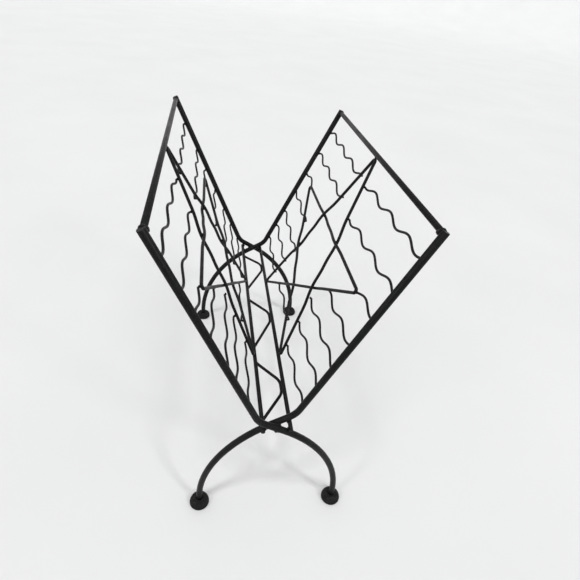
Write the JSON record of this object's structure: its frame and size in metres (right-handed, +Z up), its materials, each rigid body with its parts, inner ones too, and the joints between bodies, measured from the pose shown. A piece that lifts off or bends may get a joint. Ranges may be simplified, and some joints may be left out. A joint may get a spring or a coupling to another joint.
{
  "type": "wire magazine rack",
  "caption": "Floor-standing V-shaped rack for magazines and newspapers in bent black steel rod, with crossed end frames on rubber feet, a wire star in each side panel and wavy wire rows.",
  "frame": {"origin": "on the floor, under the middle of the rack", "axes": "+X to the right, across the rack; +Y along the rails, from the front end frame to the back one; +Z up"},
  "size_m": [0.2644, 0.434, 0.4211],
  "materials": {
    "black_paint": "satin black paint on steel rod",
    "black_rubber": "matt moulded black rubber"
  },
  "bodies": {
    "root": {"cross_rod_left_front": "black_paint", "cross_rod_left_back": "black_paint", "cross_rod_right_front": "black_paint", "cross_rod_right_back": "black_paint", "foot_left_front": "black_rubber", "foot_left_back": "black_rubber", "foot_right_front": "black_rubber", "foot_right_back": "black_rubber", "top_rail_left": "black_paint", "top_rail_right": "black_paint", "bottom_rail_left": "black_paint", "bottom_rail_right": "black_paint", "floor_rod": "black_paint", "star_left": "black_paint", "star_right": "black_paint", "wavy_wire_left_front_1": "black_paint", "wavy_wire_left_front_2": "black_paint", "wavy_wire_left_front_3": "black_paint", "wavy_wire_left_front_4": "black_paint", "wavy_wire_left_front_5": "black_paint", "wavy_wire_left_front_6": "black_paint", "wavy_wire_left_front_7": "black_paint", "wavy_wire_left_back_1": "black_paint", "wavy_wire_left_back_2": "black_paint", "wavy_wire_left_back_3": "black_paint", "wavy_wire_left_back_4": "black_paint", "wavy_wire_left_back_5": "black_paint", "wavy_wire_left_back_6": "black_paint", "wavy_wire_left_back_7": "black_paint", "wavy_wire_right_front_1": "black_paint", "wavy_wire_right_front_2": "black_paint", "wavy_wire_right_front_3": "black_paint", "wavy_wire_right_front_4": "black_paint", "wavy_wire_right_front_5": "black_paint", "wavy_wire_right_front_6": "black_paint", "wavy_wire_right_front_7": "black_paint", "wavy_wire_right_back_1": "black_paint", "wavy_wire_right_back_2": "black_paint", "wavy_wire_right_back_3": "black_paint", "wavy_wire_right_back_4": "black_paint", "wavy_wire_right_back_5": "black_paint", "wavy_wire_right_back_6": "black_paint", "wavy_wire_right_back_7": "black_paint", "wavy_wire_left_notch": "black_paint", "wavy_wire_right_notch": "black_paint"}
  },
  "joints": []
}
